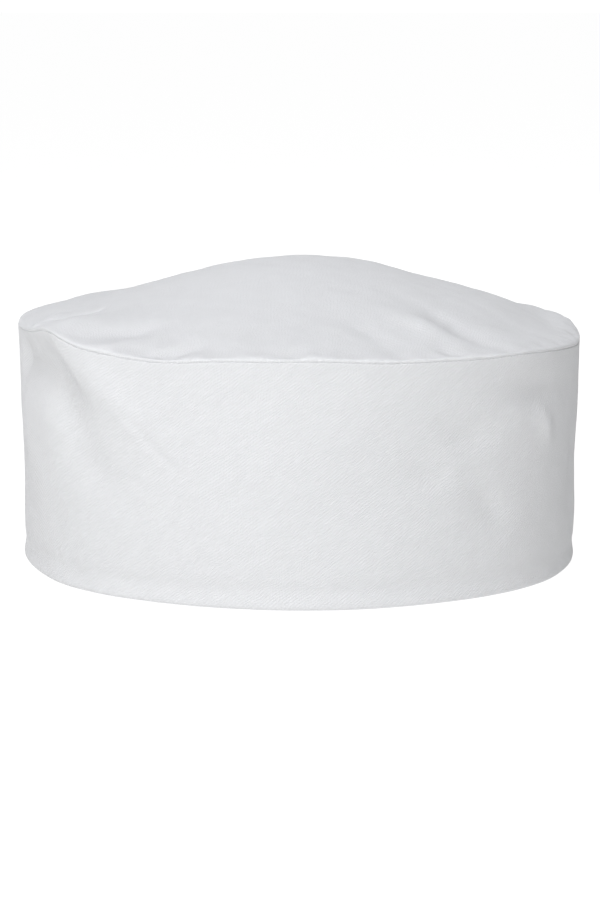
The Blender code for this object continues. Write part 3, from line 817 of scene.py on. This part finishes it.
def strap_strip(name, angles, depth, thickness, inset, material, **look):
    """A strip along the back, between two angles from its middle, whose outer face is at depth(angle). It is
    narrower than the straps by an inset along each edge. The second value is its length."""
    radius = STRAP_WALL_RADIUS - STRAP_DEPTH
    length = math.radians(angles[1] - angles[0]) * radius

    def place(s, t, lift):
        angle = angles[0] + np.degrees(s / radius)
        return on_strap(180 - angle, depth(angle) + thickness / 2 - lift, STRAP_LOW + inset + t)

    width = STRAP_HIGH - STRAP_LOW - 2 * inset
    return slab(name, place, length, width, thickness, material, spacing=0.7, **look), length


def make_strap(name, angles, depth, material, node, side):
    """A strap with its root sewn inside the band. It works out the two ends of a bend at the hinge, but
    leaves the cloth unbent.
    """
    strap, length = strap_strip(name, angles, depth, STRAP_THICKNESS, 0, material, corner=2.5, puff=0.1)
    bend = [side * (HINGE_ANGLE + s * HINGE_SPREAD) for s in (1, -1)]
    middle = STRAP_DEPTH + STRAP_THICKNESS / 2
    start, end = (tuple(on_strap(180 - angle, middle, STRAP_LOW)[0] * MM) for angle in bend)
    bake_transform(strap)
    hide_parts(f"{node}_root", node)


def box_corners(angles, depth):
    """The corners of a box of stitches on a strap."""
    low, high = STRAP_LOW + STITCH_BOX_INSET, STRAP_HIGH - STITCH_BOX_INSET
    first, last = (180 - a for a in angles)
    return [(first, depth, low), (last, depth, low), (last, depth, high), (first, depth, high)]


def sew_fastener(node, strap, angles, depth, thread, outside):
    """The box of stitches that holds hook or loop tape, on the strap's other face."""
    corners = box_corners((angles[0] + FASTENER_STITCH_ANGLE, angles[1] - FASTENER_STITCH_ANGLE), depth)
    how = {"pitch": BOX_PITCH, "outside": outside, "closed": True, "put": on_strap}
    sew(f"{node}_stitches", f"{node}_stitching", thread, corners, body=strap, **how)


def make_fastener(node, strap, angles, depth, thickness, material):
    """The woven ground of a piece of hook or loop tape, whose outer face is at a depth."""
    ground, _ = strap_strip(
        f"{node}_ground", angles, lambda angle: depth, thickness, FASTENER_INSET, material, corner=0.5
    )
    finish_piece(ground, node, node, body=strap)


def make_hooks(material):
    """Rows of small nylon hooks on the closing strap, which point along it by turns."""
    pitch = 1.05
    radius = STRAP_WALL_RADIUS - HOOK_TAPE_DEPTH
    along = np.arange(0.9, math.radians(HOOK_TAPE_ANGLES[1] - HOOK_TAPE_ANGLES[0]) * radius - 0.8, pitch)
    up = np.arange(STRAP_LOW + FASTENER_INSET + 0.8, STRAP_HIGH - FASTENER_INSET - 0.6, 0.85)
    s, z = (v.ravel() for v in np.meshgrid(along, up))
    way = np.where((z / 0.85).astype(int) % 2 == 0, 1, -1)
    shape = np.array([(0, 0), (0, 0.2), (0.05, 0.36), (0.17, 0.44), (0.3, 0.38), (0.33, 0.28)])
    forward, rise = shape[:, 0][None, :] * way[:, None], np.tile(shape[:, 1], (len(s), 1))
    angle = HOOK_TAPE_ANGLES[0] + np.degrees((s[:, None] + forward) / radius)
    base = HOOK_TAPE_DEPTH + 0.42
    middle = on_strap(180 - angle.ravel(), base + rise.ravel(), np.repeat(z, len(shape)))
    middle = middle.reshape(len(s), len(shape), 3)
    radii = np.array([0.09, 0.085, 0.08, 0.075, 0.065, 0.04])
    hooks = Tubes()
    hooks.add(middle, radii, np.tile([0.0, 0.0, 1.0], (*middle.shape[:2], 1)))
    piece = hooks.build("hook_tape_hooks", material)
    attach(piece, "closing_strap")


def make_loops(material):
    """The fuzz of fine loops on the receiving strap."""
    random = np.random.default_rng(23)
    number = 1300
    length = LOOP_TAPE_ANGLES[1] - LOOP_TAPE_ANGLES[0]
    angle = LOOP_TAPE_ANGLES[0] + 0.4 + (length - 0.8) * random.random(number)
    height = STRAP_HIGH - STRAP_LOW - 2 * FASTENER_INSET
    z = STRAP_LOW + FASTENER_INSET + 0.6 + (height - 1.2) * random.random(number)
    turn = random.random(number) * 2 * math.pi
    size = 0.3 + 0.25 * random.random(number)
    rise = 0.3 + 0.2 * random.random(number)
    round_loop = np.linspace(0, math.pi, 7)
    reach = np.cos(round_loop)[None, :] * size[:, None]
    rise = np.sin(round_loop)[None, :] * rise[:, None]
    radius = STRAP_WALL_RADIUS - LOOP_TAPE_DEPTH
    angles = angle[:, None] + np.degrees(reach * np.cos(turn)[:, None] / radius)
    heights = z[:, None] + reach * np.sin(turn)[:, None]
    base = LOOP_TAPE_DEPTH + 0.52
    middle = on_strap(180 - angles.ravel(), base - rise.ravel(), heights.ravel()).reshape(number, 7, 3)
    loops = Tubes(sides=4)
    side = np.stack([-np.sin(turn), np.zeros(number), np.cos(turn)], -1)
    loops.add(middle, np.full(7, 0.055), np.repeat(side[:, None], 7, axis=1))
    piece = loops.build("loop_tape_pile", material)
    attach(piece, "receiving_strap")


def make_root_stitches(thread):
    """Boxes of stitches through the band and the roots of the straps, seen outside and inside."""
    faces = ((0, in_wall, True), (STRAP_DEPTH + STRAP_THICKNESS + 0.05, on_strap, False))
    for name, side in SIDES:
        stitches = Tubes()
        for depth, put, outside in faces:
            corners = box_corners([side * a for a in ROOT_STITCH_ANGLES], depth)
            stitch_path(stitches, corners, BOX_PITCH, outside=outside, closed=True, put=put)
        piece = stitches.build(f"strap_box_stitches_{name}", thread)
        finish_piece(piece, "thread", f"strap_root_stitching_{name}")


def make_bar_tacks(thread):
    """Close zigzag stitches across the foot of the binding, either side of the opening."""
    low, high = BAR_TACK_HEIGHTS
    heights = np.arange(low, high, 0.36)
    t = np.linspace(-1, 1, 7)
    for name, side in SIDES:
        slant = np.where(np.arange(len(heights)) % 2 == 0, 0.18, -0.18)
        x = side * BAR_TACK_X + np.tile(1.1 * t, (len(heights), 1))
        z = heights[:, None] + slant[:, None] * t[None, :]
        depth = np.tile(-GAP - CLOTH + 0.25 * t**4 - 0.12, (len(heights), 1))
        middle = at_back(x.ravel(), depth.ravel(), z.ravel()).reshape(len(heights), 7, 3)
        tack = Tubes(sides=8)
        tack.add(middle, 0.2 * STITCH_SHAPE, np.tile([0.0, 1.0, 0.0], (*middle.shape[:2], 1)))
        finish_piece(tack.build(f"bar_tack_thread_{name}", thread), "thread", f"bar_tack_{name}")


def make_straps(twill_cloth, hook, loop, thread):
    strap, angles = "closing_strap", HOOK_TAPE_ANGLES
    ends = (-STRAP_ROOT_END, CLOSING_STRAP_END)
    make_strap("closing_strap_cloth", ends, closing_depth, twill_cloth, strap, -1)
    make_fastener("hook_tape", strap, angles, HOOK_TAPE_DEPTH, HOOK_BACKING, hook)
    make_hooks(hook)
    sew_fastener("hook_tape", strap, angles, CLOSING_STRAP_DEPTH, thread, outside=True)
    strap, angles = "receiving_strap", LOOP_TAPE_ANGLES
    ends = (RECEIVING_STRAP_END, STRAP_ROOT_END)
    make_strap("receiving_strap_cloth", ends, lambda angle: STRAP_DEPTH, twill_cloth, strap, 1)
    depth = LOOP_TAPE_DEPTH + FASTENER_THICKNESS - LOOP_BACKING
    make_fastener("loop_tape", strap, angles, depth, LOOP_BACKING, loop)
    make_loops(loop)
    sew_fastener("loop_tape", strap, angles, STRAP_DEPTH + STRAP_THICKNESS, thread, outside=False)


# Materials


def add_node(tree, kind, inputs, **settings):
    """A new node in a tree. Each input is a value or another node's output."""
    node = tree.nodes.new(kind)
    for key, value in settings.items():
        setattr(node, key, value)
    for key, value in inputs.items():
        if isinstance(value, bpy.types.NodeSocket):
            tree.links.new(value, node.inputs[key])
        else:
            node.inputs[key].default_value = value
    return node


class Nodes:
    """A material's node tree, with short ways to add to it."""

    def __init__(self, name, colour, roughness, sheen=0.0, specular=0.2):
        self.material = bpy.data.materials.new(name)
        self.material.use_nodes = True
        self.tree = self.material.node_tree
        self.colour = colour
        self.shader = self.tree.nodes["Principled BSDF"]
        self.set("Base Color", (*colour, 1))
        self.set("Roughness", roughness)
        self.set("Sheen Weight", sheen)
        self.set("Specular IOR Level", specular)

    @cached_property
    def uv(self):
        return self.add("UVMap", {}, uv_map="UVMap").outputs[0]

    def set(self, name, value):
        self.shader.inputs[name].default_value = value

    def add(self, kind, inputs, **settings):
        return add_node(self.tree, "ShaderNode" + kind, inputs, **settings)

    def maths(self, operation, a, b=0.0, c=0.0):
        return self.add("Math", {0: a, 1: b, 2: c}, operation=operation).outputs[0]

    def plus(self, a, share, b):
        """A share of a, added to b."""
        return self.maths("MULTIPLY_ADD", a, share, b)

    def times(self, a, b):
        return self.maths("MULTIPLY", a, b)

    def shaken(self, vector, scale, distance, detail=2.0):
        """A place moved a little by noise, so that what repeats isn't quite even."""
        inputs = {"Vector": vector, "Scale": scale, "Detail": detail}
        noise = self.add("TexNoise", inputs, noise_dimensions="2D").outputs["Color"]
        off = self.add("VectorMath", {0: noise, 1: (0.5, 0.5, 0.5)}, operation="SUBTRACT").outputs[0]
        shift = self.add("VectorMath", {0: off, "Scale": distance}, operation="SCALE").outputs[0]
        return self.add("VectorMath", {0: vector, 1: shift}, operation="ADD").outputs[0]

    def waves(self, vector, angle, pitch):
        """Even ribs: 1 on a rib and 0 in a groove. The angle is in degrees and the pitch in metres."""
        inputs = {"Vector": vector, "Angle": math.radians(angle)}
        turned = self.add("VectorRotate", inputs, rotation_type="Z_AXIS").outputs[0]
        x = self.add("SeparateXYZ", {0: turned}).outputs[0]
        return self.plus(self.maths("SINE", self.times(x, 2 * math.pi / pitch)), 0.5, 0.5)

    def noise(self, vector, scale, detail=3.0, roughness=0.5):
        inputs = {"Vector": vector, "Scale": scale, "Detail": detail, "Roughness": roughness}
        return self.add("TexNoise", inputs).outputs["Fac"]

    def cells(self, vector, scale, randomness):
        """The distance from the middle of the nearest cell."""
        inputs = {"Vector": vector, "Scale": scale, "Randomness": randomness}
        return self.add("TexVoronoi", inputs, voronoi_dimensions="2D").outputs["Distance"]

    def finished(self, height, distance, shade_and_tone, darker):
        """The material, with a bump from a height, and a colour that is darker where the tone is near 0.
        Every material's tone follows its height, at least in part, so the low places of the bump are darker:
        painted shade.
        """
        mix = self.add("Mix", {"Factor": shade_and_tone}, data_type="RGBA", clamp_factor=True)
        mix.inputs["A"].default_value = (*(c * darker for c in self.colour), 1)
        mix.inputs["B"].default_value = (*self.colour, 1)
        self.tree.links.new(mix.outputs["Result"], self.shader.inputs["Base Color"])
        bump = self.add("Bump", {"Height": height, "Distance": distance, "Strength": 1.0})
        self.tree.links.new(bump.outputs[0], self.shader.inputs["Normal"])
        return self.material


def twill(name, colour):
    """Brushed cotton twill: fine diagonal ribs, crossing yarns, and the mottling of washed cloth."""
    n = Nodes(name, colour, 0.92, sheen=0.1)
    moved = n.shaken(n.shaken(n.uv, 160, 0.0012), 1500, 0.00035)
    ribs = n.waves(moved, 55, 0.00085)
    yarns = n.waves(moved, 0, 0.00046)
    fuzz = n.noise(n.uv, 3600, 3.0, 0.6)
    slub = n.noise(n.uv, 230, 5.0, 0.65)
    weave = n.plus(yarns, 0.3, n.times(ribs, 0.55))
    height = n.plus(fuzz, 0.45, n.plus(slub, 0.9, weave))
    # The colour is darker in the grooves between the ribs and the yarns, as painted shade, and mottled at
    # random by the slub.
    return n.finished(height, 0.00013, n.plus(weave, 0.55, n.times(slub, 0.8)), 0.93)


def plain_weave(name, colour):
    """A plain weave on the bias, as binding tape is cut."""
    n = Nodes(name, colour, 0.85, sheen=0.08)
    moved = n.shaken(n.uv, 700, 0.0003)
    warp, weft = n.waves(moved, 45, 0.0005), n.waves(moved, -45, 0.0005)
    weave = n.plus(n.times(warp, weft), 0.8, n.times(n.noise(moved, 900), 0.3))
    # The colour is darker where the yarns dip between their crossings, as painted shade, with some noise at
    # random.
    return n.finished(weave, 0.00012, weave, 0.9)


def terry(name, colour):
    """A looped, absorbent face."""
    n = Nodes(name, colour, 0.98, sheen=0.25, specular=0.1)
    place = n.shaken(n.uv, 500, 0.0006)
    loops = n.maths("SUBTRACT", 1.0, n.cells(place, 1050.0, 0.8))
    height = n.plus(n.noise(place, 2800), 0.4, loops)
    # The colour is darker between the loops, where the bump is low, as painted shade.
    return n.finished(height, 0.0004, n.maths("SUBTRACT", height, 0.25), 0.84)


def felt(name, colour):
    """The bonded fibres of a stiffener."""
    n = Nodes(name, colour, 0.95, specular=0.15)
    fibres = n.noise(n.shaken(n.uv, 90, 0.01, 4.0), 1400, 6.0, 0.7)
    height = n.plus(n.cells(n.uv, 600.0, 0.1), 0.5, n.times(fibres, 0.7))
    # The colour is darker where the bump is low, as painted shade, and varies at random with the fibres.
    return n.finished(height, 0.0001, height, 0.9)


def thread_material(name, colour):
    """Spun thread of three plies, which wind round it."""
    n = Nodes(name, colour, 0.7, sheen=0.2, specular=0.3)
    along, around, _ = n.add("SeparateXYZ", {0: n.uv}).outputs
    turns = n.plus(around, 1000.0, n.times(along, 1 / 0.0006))
    ply = n.plus(n.maths("SINE", n.times(turns, 2 * math.pi)), 0.5, 0.5)
    # The colour is darker in the grooves between the plies, as painted shade.
    return n.finished(ply, 0.00006, ply, 0.8)


def nylon(name, colour):
    """The hook half of the fastener: woven nylon with a slight gloss."""
    n = Nodes(name, colour, 0.42, specular=0.45)
    weave = n.times(n.waves(n.uv, 0, 0.0006), n.waves(n.uv, 90, 0.0004))
    # The colour is darker in the gaps of the weave, as painted shade, and mottled at random by noise.
    return n.finished(weave, 0.0001, n.plus(n.noise(n.uv, 1200), 0.3, weave), 0.88)


def fleece(name, colour):
    """The loop half of the fastener: brushed nylon."""
    n = Nodes(name, colour, 0.9, sheen=0.4)
    fuzz = n.noise(n.shaken(n.uv, 1200, 0.0005, 4.0), 2200, 6.0, 0.75)
    # The colour is darker where the fuzz lies low, as painted shade.
    return n.finished(fuzz, 0.0003, fuzz, 0.82)


def satin(name, colour):
    """Woven satin ribbon, with fine ribs across it."""
    n = Nodes(name, colour, 0.36, sheen=0.1, specular=0.5)
    place = n.shaken(n.uv, 400, 0.00008)
    ribs = n.plus(n.waves(place, 0, 0.00022), 0.7, n.times(n.waves(place, 90, 0.0003), 0.3))
    # The colour is darker in the grooves between the ribs, as painted shade.
    return n.finished(ribs, 0.00004, ribs, 0.93)


# Stage, light and camera


CAP_MIDDLE = Vector((0, 0, 0.05))
# Name, place, size, power and colour
LIGHTS = (
    ("key", (-0.45, -1.6, 0.95), (1.0, 0.9), 19, (1, 1, 1)),
    ("overhead", (-0.15, -0.4, 1.55), (1.1, 1.1), 16.5, (0.965, 0.97, 1.0)),
    ("back_fill", (0.1, 1.6, 0.5), (0.6, 0.35), 6, (1, 1, 1)),
)


def make_lights():
    """Large soft lights that face the cap."""
    for name, place, size, power, colour in LIGHTS:
        light = bpy.data.lights.new(name, "AREA")
        light.shape = "RECTANGLE"
        light.size, light.size_y = size
        light.energy = power
        light.color = colour
        obj = bpy.data.objects.new(name, light)
        obj.location = place
        obj.rotation_euler = (CAP_MIDDLE - Vector(place)).to_track_quat("-Z", "Y").to_euler()
        bpy.context.scene.collection.objects.link(obj)


def make_floor():
    """A white floor that is nearly as bright as the background by itself, and takes only a faint shadow."""
    white = Nodes("floor_white", (0.12, 0.12, 0.12), 0.9, specular=0.0)
    white.set("Emission Color", (1, 1, 1, 1))
    white.set("Emission Strength", 0.975)
    bpy.ops.mesh.primitive_plane_add(size=80, location=(0, 0, -0.0003))
    floor = bpy.context.object
    floor.name = "floor"
    floor.data.materials.append(white.material)


def make_world():
    """A dim studio, a little brighter on the left, whose white floor runs on past the horizon."""
    world = bpy.data.worlds.new("studio")
    bpy.context.scene.world = world
    world.use_nodes = True
    tree = world.node_tree
    background = tree.nodes["Background"]
    background.inputs["Color"].default_value = (0.98, 0.99, 1.0, 1)
    direction = add_node(tree, "ShaderNodeTexCoord", {}).outputs["Generated"]
    x, _, z = add_node(tree, "ShaderNodeSeparateXYZ", {0: direction}).outputs
    studio = add_node(tree, "ShaderNodeMath", {0: x, 1: -0.05, 2: 0.12}, operation="MULTIPLY_ADD").outputs[0]
    horizon = {"Value": z, "From Min": 0.02, "From Max": 0.09, "To Min": 1.1, "To Max": studio}
    level = add_node(tree, "ShaderNodeMapRange", horizon, interpolation_type="SMOOTHSTEP")
    tree.links.new(level.outputs["Result"], background.inputs["Strength"])


def make_camera():
    distance = 0.9
    tilt = math.radians(9.74)
    aim_down = math.radians(0.311)
    target = Vector((0, 0, 0.040))
    camera = bpy.data.cameras.new("camera")
    camera.sensor_width = 36
    camera.lens = 101.6
    obj = bpy.data.objects.new("camera", camera)
    obj.location = target + distance * Vector((0, -math.cos(tilt), math.sin(tilt)))
    obj.rotation_euler = (math.pi / 2 - tilt - aim_down, 0, 0)
    bpy.context.scene.collection.objects.link(obj)
    bpy.context.scene.camera = obj


def main():
    white_twill = twill("white_twill_cloth", (0.7, 0.705, 0.716))
    tape = plain_weave("binding_tape_cloth", (0.74, 0.75, 0.77))
    thread = thread_material("white_thread", (0.78, 0.785, 0.8))
    hook = nylon("hook_nylon", (0.76, 0.765, 0.775))
    loop = fleece("loop_nylon", (0.75, 0.755, 0.77))
    make_crown(white_twill)
    make_band(white_twill)
    make_interlining(felt("interlining_felt", (0.78, 0.78, 0.76)))
    make_seam_binding(tape, thread)
    make_sweatband(terry("sweatband_loops", (0.72, 0.73, 0.745)), thread)
    make_label(satin("label_ribbon", (0.82, 0.82, 0.81)), thread)
    make_opening_binding(tape, thread)
    make_back_seam(tape, thread)
    make_straps(white_twill, hook, loop, thread)
    make_root_stitches(thread)
    make_bar_tacks(thread)
    make_floor()
    make_world()
    make_lights()
    make_camera()
    bpy.context.scene.view_settings.view_transform = "Standard"


main()
